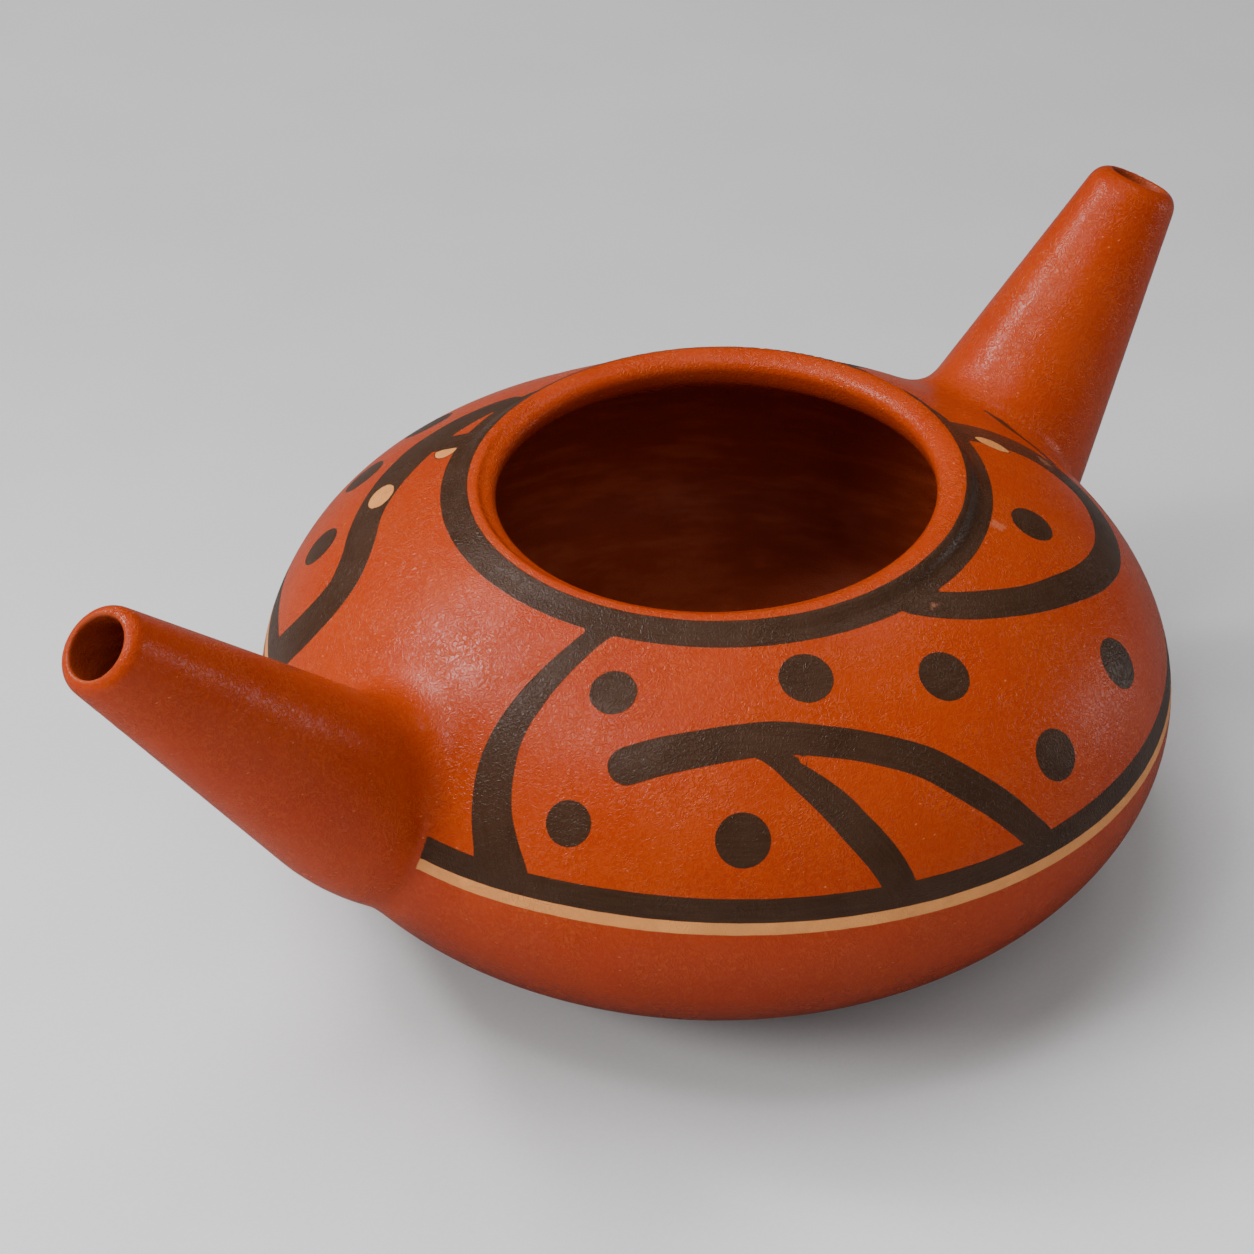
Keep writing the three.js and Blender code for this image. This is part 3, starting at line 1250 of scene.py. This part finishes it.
@dataclass(frozen=True)
class BurnishedSkin:
    """The fine skin of burnished slip: small rubbed wrinkles and pale specks.

    Sizes are in millimetres and scales in cells to a metre.
    """

    wrinkle_size: float = 1.0
    wrinkle_drift: float = 1.6
    wrinkle_width: float = 0.11
    drift_share: float = 0.35
    finer: float = 2.3
    patches: Mottle = Mottle(95.0, 0.38, 0.66, 2.0, 0.55)
    patchiness: float = 0.6
    speck_spacing: float = 2.42
    speck_flatness: float = 2.4
    speck_edge: tuple[float, float] = (0.05, 0.16)
    speck_choice: tuple[float, float] = (0.80, 0.9)
    broad_scale: float = 55.0
    broad_range: tuple[float, float] = (0.3, 0.7)
    fine_share: float = 0.75
    broad_share: float = 1.2

    def group(self) -> bpy.types.NodeTree:
        """Builds the group once.

        Returns:
            A group that puts out a height and masks of rubbing, specks and wrinkles.
        """
        number = "NodeSocketFloat"
        tree, g = new_group("burnished skin", [("Place", "NodeSocketVector", None)],
                            [("Height", number), ("Rubbed", number), ("Specks", number),
                             ("Wrinkles", number)])
        start, end = g.add("NodeGroupInput"), g.add("NodeGroupOutput")
        place = start.outputs["Place"]
        per_metre = 1.0 / (self.wrinkle_size * MM)
        drift = g.add("ShaderNodeTexNoise")
        g.join(place, drift.inputs["Vector"])
        drift.inputs["Scale"].default_value = per_metre * self.drift_share
        bent = g.add("ShaderNodeVectorMath", operation="SCALE")
        g.join(drift.outputs["Color"], bent.inputs[0])
        bent.inputs["Scale"].default_value = self.wrinkle_drift * MM
        shifted = g.add("ShaderNodeVectorMath", operation="ADD")
        g.join(place, shifted.inputs[0])
        g.join(bent.outputs[0], shifted.inputs[1])
        moved = shifted.outputs[0]
        first = g.noise(moved, per_metre, 1.0, 0.45, 0.6)
        ridge = g.math("ABSOLUTE", g.math("SUBTRACT", first, 0.5))
        lines = g.remap(ridge, 0.0, self.wrinkle_width, 1.0, 0.0)
        second = g.noise(moved, per_metre * self.finer, 1.0, 0.5, 0.4)
        broad = g.noise(place, self.broad_scale)
        where = g.mottled(place, self.patches)
        share = g.plus(g.times(where, self.patchiness), 1.0 - self.patchiness)
        lines = g.times(lines, share)
        g.join(lines, end.inputs["Wrinkles"])
        height = g.plus(lines, g.times(second, self.fine_share))
        height = g.plus(height, g.times(broad, self.broad_share))
        g.join(height, end.inputs["Height"])
        g.join(g.remap(broad, *self.broad_range), end.inputs["Rubbed"])
        cells = g.add("ShaderNodeTexVoronoi", feature="F1", distance="EUCLIDEAN")
        g.join(g.stretch(moved, (1.0, 1.0, self.speck_flatness)), cells.inputs["Vector"])
        cells.inputs["Scale"].default_value = 1.0 / (self.speck_spacing * MM)
        near = g.remap(cells.outputs["Distance"], *self.speck_edge, 1.0, 0.0)
        chosen = g.add("ShaderNodeSeparateColor")
        g.join(cells.outputs["Color"], chosen.inputs[0])
        sparse = g.remap(chosen.outputs[0], *self.speck_choice)
        g.join(g.times(near, sparse), end.inputs["Specks"])
        return tree


@dataclass(frozen=True)
class BrushedPaint:
    """Streaks that a brush leaves in thick slip paint. Sizes are in millimetres."""

    across_size: float = 0.5
    along_size: float = 9.0
    streaks: Mottle = Mottle(1.0, 0.32, 0.7, 3.0, 0.6, 0.25)

    def group(self) -> bpy.types.NodeTree:
        """Builds the group once.

        Returns:
            A group that puts out a streak mask and a height.
        """
        number = "NodeSocketFloat"
        tree, g = new_group("brushed paint", [("Along", number, 0.0), ("Across", number, 0.0)],
                            [("Streak", number), ("Height", number)])
        start, end = g.add("NodeGroupInput"), g.add("NodeGroupOutput")
        place = g.add("ShaderNodeCombineXYZ")
        g.join(g.math("DIVIDE", start.outputs["Along"], self.along_size), place.inputs[0])
        g.join(g.math("DIVIDE", start.outputs["Across"], self.across_size), place.inputs[1])
        lay = self.streaks
        streak = g.noise(place.outputs[0], lay.scale, lay.detail, lay.rough, lay.bend)
        g.join(g.remap(streak, lay.low, lay.high), end.inputs["Streak"])
        g.join(streak, end.inputs["Height"])
        return tree


@dataclass(frozen=True)
class SlipColours:
    """Colours of the slips, as linear red, green and blue."""

    red: Colour = (0.405, 0.035, 0.0045, 1.0)
    red_deep: Colour = (0.320, 0.024, 0.0035, 1.0)
    red_light: Colour = (0.570, 0.097, 0.019, 1.0)
    speck: Colour = (0.80, 0.30, 0.11, 1.0)
    dark: Colour = (0.042, 0.018, 0.009, 1.0)
    dark_light: Colour = (0.070, 0.034, 0.019, 1.0)
    cream: Colour = (0.780, 0.310, 0.085, 1.0)
    cream_deep: Colour = (0.660, 0.260, 0.075, 1.0)
    # inside: the slip with painted shade, for the hollow and bores; inside_wiped: its wipe streaks
    inside: Colour = (0.330, 0.045, 0.010, 1.0)
    inside_wiped: Colour = (0.450, 0.085, 0.030, 1.0)
    # low: painted shade, the red slip darkened towards the foot
    low: Colour = (0.120, 0.010, 0.002, 1.0)
    scuff: Colour = (0.66, 0.24, 0.12, 1.0)


@dataclass(frozen=True)
class PaintedSlip:
    """The whole finish of the vessel: red slip, dark and cream paint, wear and gloss, with painted
    shade at the foot and in the hollow.
    """

    colours: SlipColours = SlipColours()
    skin: BurnishedSkin = BurnishedSkin()
    brush: BrushedPaint = BrushedPaint()
    edge_softness: float = 0.09
    edge_waver: float = 0.10
    waver_scale: float = 240.0
    spout_clear: tuple[float, float] = (0.8, 1.1)
    outline: tuple[float, float] = (0.18, 0.3)
    raggedness: float = 4.0
    ragged_scale: float = 800.0
    worn_share: float = 0.30
    worn_edge: tuple[float, float] = (-1.0, 0.3)
    clouds: Mottle = Mottle(28.0, 0.3, 0.72, 4.0, 0.6, 0.3)
    cloud_share: float = 0.55
    grain: Mottle = Mottle(900.0, 0.35, 0.7, 3.0, 0.7)
    grain_share: float = 0.16
    rubbed_share: float = 0.14
    wrinkle_share: float = 0.32
    speck_share: float = 0.45
    shades: Mottle = Mottle(60.0)
    shade_share: float = 0.45
    streak_share: float = 0.35
    blotches: Mottle = Mottle(130.0, 0.35, 0.7)
    wiping: Mottle = Mottle(45.0, 0.4, 0.7)
    wiping_stretch: Place = (1.0, 1.0, 5.0)
    # Painted shade of the hollow: on its wall, starting below the lip's roll.
    hollow_edge: tuple[float, float] = (0.2, 1.1)
    lip_edge: tuple[float, float] = (1.2, 5.0)
    gloss: tuple[float, float] = (0.21, 0.28)
    gloss_patches: Mottle = Mottle(70.0)
    dark_rougher: float = 0.05
    cream_rougher: float = 0.08
    inside_rougher: float = 0.12
    shine: float = 0.34
    refraction: float = 1.5
    skin_height: float = 0.085
    paint_height: float = 0.012
    streak_height: float = 0.035
    # Painted shade: the red slip darkens towards the foot, below these heights in metres, but not
    # on the spouts.
    foot_shade: tuple[float, float] = (0.008, 0.062)
    foot_shade_share: float = 0.85
    spout_fade: tuple[float, float] = (-1.0, 6.0)

    def material(self, name: str, painting: Painting) -> bpy.types.Material:
        """Builds the material.

        Args:
            name: Name of the material.
            painting: The painting, for the widths of its band.

        Returns:
            The finished material.
        """
        material = bpy.data.materials.new(name)
        material.use_nodes = True
        g = Graph(material.node_tree)
        shader = g.tree.nodes["Principled BSDF"]
        place = g.add("ShaderNodeTexCoord").outputs["Object"]
        skin = g.add("ShaderNodeGroup", node_tree=self.skin.group())
        g.join(place, skin.inputs["Place"])
        brush = g.add("ShaderNodeGroup", node_tree=self.brush.group())
        g.join(g.attribute("stroke_along"), brush.inputs["Along"])
        g.join(g.attribute("stroke_across"), brush.inputs["Across"])

        waver = g.times(g.math("SUBTRACT", g.noise(place, self.waver_scale), 0.5),
                        self.edge_waver * 2)
        soft = self.edge_softness
        strokes = g.remap(g.plus(g.attribute("dark_edge"), waver), -soft, soft, 1.0, 0.0)
        band = g.plus(g.attribute("band_offset"), waver)
        above = g.remap(band, -soft, soft)
        over = g.plus(g.attribute("band_over"), waver)
        below_top = g.remap(over, -soft, soft, 1.0, 0.0)
        above_cream = g.remap(band, -painting.band_cream - soft, -painting.band_cream + soft)
        clear = g.remap(g.attribute("spout_gap"), *self.spout_clear)
        band_dark = g.times(g.times(above, below_top), clear)
        band_cream = g.times(above_cream, g.math("SUBTRACT", 1.0, above))
        band_cream = g.times(band_cream, clear)
        over_band = g.times(g.times(strokes, above), clear)
        dark = g.math("MAXIMUM", over_band, band_dark)
        cream_edge = g.plus(g.attribute("cream_edge"), waver)
        outline = g.remap(cream_edge, *self.outline, 1.0, 0.0)
        ovals = g.remap(cream_edge, -soft, soft, 1.0, 0.0)
        dark = g.math("MAXIMUM", dark, outline)
        cream = g.math("MAXIMUM", band_cream, ovals)

        red = self.red_slip(g, place, skin)
        shade = g.mottled(place, self.shades)
        shade = g.plus(g.times(brush.outputs["Streak"], self.streak_share),
                       g.times(shade, self.shade_share), clamp=True)
        paint = g.mix(shade, self.colours.dark, self.colours.dark_light)
        blotch = g.mottled(place, self.blotches)
        pale = g.mix(blotch, self.colours.cream_deep, self.colours.cream)
        colour = g.mix(dark, red, paint)
        colour = g.mix(cream, colour, pale)
        ragged = g.math("SUBTRACT", g.noise(place, self.ragged_scale, 3.0, 0.6), 0.5)
        ragged = g.times(ragged, self.raggedness)
        worn = g.plus(g.attribute("worn_edge"), ragged)
        worn = g.remap(worn, *self.worn_edge, self.worn_share, 0.0)
        colour = g.mix(worn, colour, self.colours.scuff)
        g.join(colour, shader.inputs["Base Color"])

        rough = g.mottled(place, self.gloss_patches, *self.gloss)
        rough = g.plus(rough, g.times(dark, self.dark_rougher))
        rough = g.plus(rough, g.times(cream, self.cream_rougher))
        rough = g.plus(rough, g.times(self.inside_shade(g), self.inside_rougher), clamp=True)
        g.join(rough, shader.inputs["Roughness"])

        height = g.times(skin.outputs["Height"], self.skin_height)
        paint_body = g.times(g.plus(dark, cream, clamp=True), self.paint_height)
        streaks = g.times(g.times(brush.outputs["Height"], dark), self.streak_height)
        height = g.plus(g.plus(height, paint_body), streaks)
        bump = g.add("ShaderNodeBump")
        g.join(height, bump.inputs["Height"])
        bump.inputs["Strength"].default_value = 1.0
        bump.inputs["Distance"].default_value = MM
        g.join(bump.outputs["Normal"], shader.inputs["Normal"])
        shader.inputs["Specular IOR Level"].default_value = self.shine
        shader.inputs["IOR"].default_value = self.refraction
        return material

    def red_slip(self, g: Graph, place: bpy.types.NodeSocket,
                 skin: bpy.types.Node) -> bpy.types.NodeSocket:
        """Colour of the red slip: cloudy and specked, with painted shade at the foot and in the
        hollow.

        Args:
            g: Helper for the material's nodes.
            place: Object coordinates.
            skin: The group of the burnished skin.

        Returns:
            The colour's socket.
        """
        cloud = g.mottled(place, self.clouds)
        red = g.mix(g.times(cloud, self.cloud_share), self.colours.red,
                    self.colours.red_deep)
        grain = g.mottled(place, self.grain)
        red = g.mix(g.times(grain, self.grain_share), red, self.colours.red_light)
        rubbed = g.times(skin.outputs["Rubbed"], self.rubbed_share)
        red = g.mix(rubbed, red, self.colours.red_light)
        wrinkles = g.times(skin.outputs["Wrinkles"], self.wrinkle_share)
        red = g.mix(wrinkles, red, self.colours.red_light)
        specks = g.times(skin.outputs["Specks"], self.speck_share)
        red = g.mix(specks, red, self.colours.speck)
        height = g.add("ShaderNodeSeparateXYZ")
        g.join(place, height.inputs[0])
        # Painted shade: darker towards the foot, kept off the spouts.
        low = g.remap(height.outputs[2], *self.foot_shade, self.foot_shade_share, 0.0)
        off_spout = g.remap(g.attribute("spout_gap"), *self.spout_fade)
        red = g.mix(g.times(low, off_spout), red, self.colours.low)
        # The hollow and bores get painted shade, with wipe streaks across it.
        wiped = g.mottled(g.stretch(place, self.wiping_stretch), self.wiping)
        hollow = g.mix(wiped, self.colours.inside, self.colours.inside_wiped)
        return g.mix(self.inside_shade(g), red, hollow)

    def inside_shade(self, g: Graph) -> bpy.types.NodeSocket:
        """Mask of the painted shade in the hollow under the lip and in the spouts' bores.

        Args:
            g: Helper for the material's nodes.

        Returns:
            The mask's socket.
        """
        under = g.remap(g.attribute("hollow_gap"), *self.hollow_edge, 1.0, 0.0)
        return g.times(under, g.remap(g.attribute("lip_gap"), *self.lip_edge))


@dataclass(frozen=True)
class PhotoCamera:
    """The camera at the photograph's place. Place in millimetres, angles in degrees."""

    place: Place = (-320.13, -329.37, 379.63)
    heading: float = 48.197
    down: float = 35.436
    roll: float = -0.667
    lens: float = 73.62
    sensor: float = 36.0
    clip_metres: tuple[float, float] = (0.01, 50.0)

    def build(self) -> bpy.types.Object:
        """Makes the scene's camera.

        Returns:
            The camera object.
        """
        h, p, roll = (math.radians(v) for v in (self.heading, self.down, self.roll))
        ahead = Vector((math.cos(h) * math.cos(p), math.sin(h) * math.cos(p), -math.sin(p)))
        level = Vector((math.sin(h), -math.cos(h), 0.0))
        upright = level.cross(ahead)
        right = level * math.cos(roll) + upright * math.sin(roll)
        up = upright * math.cos(roll) - level * math.sin(roll)
        data = bpy.data.cameras.new("photo camera")
        data.lens = self.lens
        data.sensor_width = self.sensor
        data.clip_start, data.clip_end = self.clip_metres
        camera = bpy.data.objects.new("photo camera", data)
        bpy.context.scene.collection.objects.link(camera)
        turn = Matrix((right, up, -ahead)).transposed().to_4x4()
        camera.matrix_world = Matrix.Translation(Vector(self.place) * MM) @ turn
        bpy.context.scene.camera = camera
        return camera


@dataclass(frozen=True)
class SoftLight:
    """One soft panel of light, aimed at the vessel. Place in metres."""

    name: str
    place: Place
    size: float
    power: float
    aim: Place = (0.0, 0.0, 0.05)
    mirrored: bool = True

    def build(self) -> bpy.types.Object:
        """Makes the light.

        Returns:
            The light object.
        """
        data = bpy.data.lights.new(self.name, "AREA")
        data.shape = "DISK"
        data.size = self.size
        data.energy = self.power
        lamp = bpy.data.objects.new(self.name, data)
        bpy.context.scene.collection.objects.link(lamp)
        lamp.location = self.place
        lamp.rotation_mode = "QUATERNION"
        away = Vector(self.place) - Vector(self.aim)
        lamp.rotation_quaternion = away.to_track_quat("Z", "Y")
        lamp.visible_glossy = self.mirrored
        return lamp


@dataclass
class Studio:
    """The plain pale floor and the soft light."""

    floor_size: float = 12.0
    floor_colour: Colour = (0.55, 0.55, 0.556, 1.0)
    sky: float = 0.19
    # Painted light: the paper is this much paler at the front, darker towards the back.
    front_painted_light: float = 1.58
    mirrored_floor: Colour = (0.16, 0.16, 0.16, 1.0)
    away: Place = (0.667, 0.745, 0.0)
    front_to_back: tuple[float, float] = (-0.26, 0.34)
    tone_range: tuple[float, float] = (0.97, 1.03)
    fibres: Mottle = Mottle(900.0, detail=2.0)
    patches: Mottle = Mottle(18.0, rough=0.5)
    paper_roughness: float = 0.85
    paper_shine: float = 0.2
    lights: tuple[SoftLight, ...] = (
        SoftLight("left window", (-0.49, 0.92, 1.15), 0.30, 6.5),
        SoftLight("back window", (-0.08, 0.96, 1.22), 0.22, 1.8),
        SoftLight("spout streak", (-0.65, 0.09, 1.45), 0.22, 2.0),
        SoftLight("right back panel", (0.85, 0.13, 1.30), 0.40, 0.9),
        SoftLight("low right panel", (1.20, -0.62, 0.22), 0.45, 1.3),
        SoftLight("left panel", (-1.20, 0.36, 0.80), 0.50, 9.5, mirrored=False),
        SoftLight("high panel", (-0.28, 0.34, 1.40), 1.3, 15.5, mirrored=False),
        SoftLight("front fill", (-0.60, -1.20, 1.50), 1.6, 7.0, mirrored=False),
    )

    def build(self) -> None:
        """Makes the floor, the lights and the even light of the room."""
        deselect_all()
        bpy.ops.mesh.primitive_plane_add(size=self.floor_size, location=(0, 0, 0))
        floor = bpy.context.object
        floor.name = "floor"
        floor.data.materials.append(self.paper())
        for light in self.lights:
            light.build()
        world = bpy.data.worlds.new("room")
        world.use_nodes = True
        node = world.node_tree.nodes["Background"]
        node.inputs["Color"].default_value = (1.0, 1.0, 1.0, 1.0)
        node.inputs["Strength"].default_value = self.sky
        bpy.context.scene.world = world
        world.cycles_visibility.glossy = False

    def paper(self) -> bpy.types.Material:
        """Builds the floor's plain grey paper, with painted light making it paler towards the
        front.

        Returns:
            The finished material.
        """
        material = bpy.data.materials.new("grey paper")
        material.use_nodes = True
        g = Graph(material.node_tree)
        shader = g.tree.nodes["Principled BSDF"]
        place = g.add("ShaderNodeTexCoord").outputs["Object"]
        fine = g.mottled(place, self.fibres)
        broad = g.mottled(place, self.patches)
        share = g.plus(g.times(fine, 0.5), g.times(broad, 0.5))
        toward = g.add("ShaderNodeVectorMath", operation="DOT_PRODUCT")
        g.join(place, toward.inputs[0])
        toward.inputs[1].default_value = self.away
        # Painted light: paler towards the front, fading towards the back.
        front = g.remap(toward.outputs["Value"], *self.front_to_back, 1.0, 0.0)
        tones = []
        for tone in self.tone_range:
            r, gr, b = (value * tone for value in self.floor_colour[:3])
            pale = tuple(value * self.front_painted_light for value in (r, gr, b))
            tones.append(g.mix(front, (r, gr, b, 1.0), (*pale, 1.0)))
        paper = g.mix(share, *tones)
        mirrored = g.add("ShaderNodeLightPath").outputs["Is Glossy Ray"]
        paper = g.mix(mirrored, paper, self.mirrored_floor)
        g.join(paper, shader.inputs["Base Color"])
        shader.inputs["Roughness"].default_value = self.paper_roughness
        shader.inputs["Specular IOR Level"].default_value = self.paper_shine
        return material


def main() -> None:
    """Builds the camera, the vessel, its finish and the studio, in that order."""
    logging.basicConfig(level=logging.INFO, format="%(message)s")
    PhotoCamera().build()
    vessel = PacchaVessel()
    piece = vessel.build()
    vessel.paint(piece)
    piece.name = "painted_vessel"
    piece.data.materials.clear()
    piece.data.materials.append(PaintedSlip().material("painted slip", vessel.painting))
    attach(piece, "root")
    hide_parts("paccha_vessel")
    LOG.info("piece %s: %d faces", piece.name, len(piece.data.polygons))
    Studio().build()


if __name__ == "__main__":
    main()
